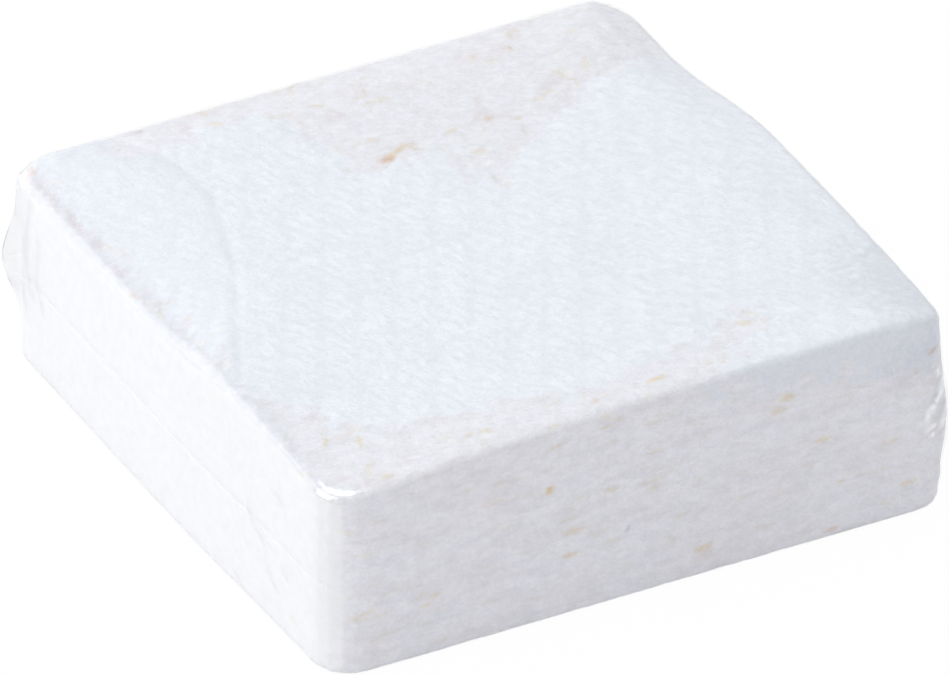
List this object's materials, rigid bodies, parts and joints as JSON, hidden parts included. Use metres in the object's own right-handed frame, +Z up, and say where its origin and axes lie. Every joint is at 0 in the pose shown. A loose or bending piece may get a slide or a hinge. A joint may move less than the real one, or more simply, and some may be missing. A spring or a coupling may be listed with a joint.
{
  "type": "gymnastics chalk block",
  "caption": "Square block of pressed magnesium carbonate gym chalk, sealed in clear shrink film with welded sides and small corner ears.",
  "frame": {"origin": "middle of the base of the wrapped block's bounding box, on the film's flat underside", "axes": "+X along the folded front, to the right; +Y from the folded front to the back; +Z up, through the block's thickness"},
  "size_m": [0.0718, 0.0698, 0.0238],
  "materials": {
    "chalk": "matte",
    "film": "gloss",
    "weld": "gloss"
  },
  "bodies": {
    "root": {"chalk_block": "chalk", "shrink_film": "film", "side_weld": "weld", "left_end_weld": "weld", "right_end_weld": "weld"}
  },
  "joints": []
}
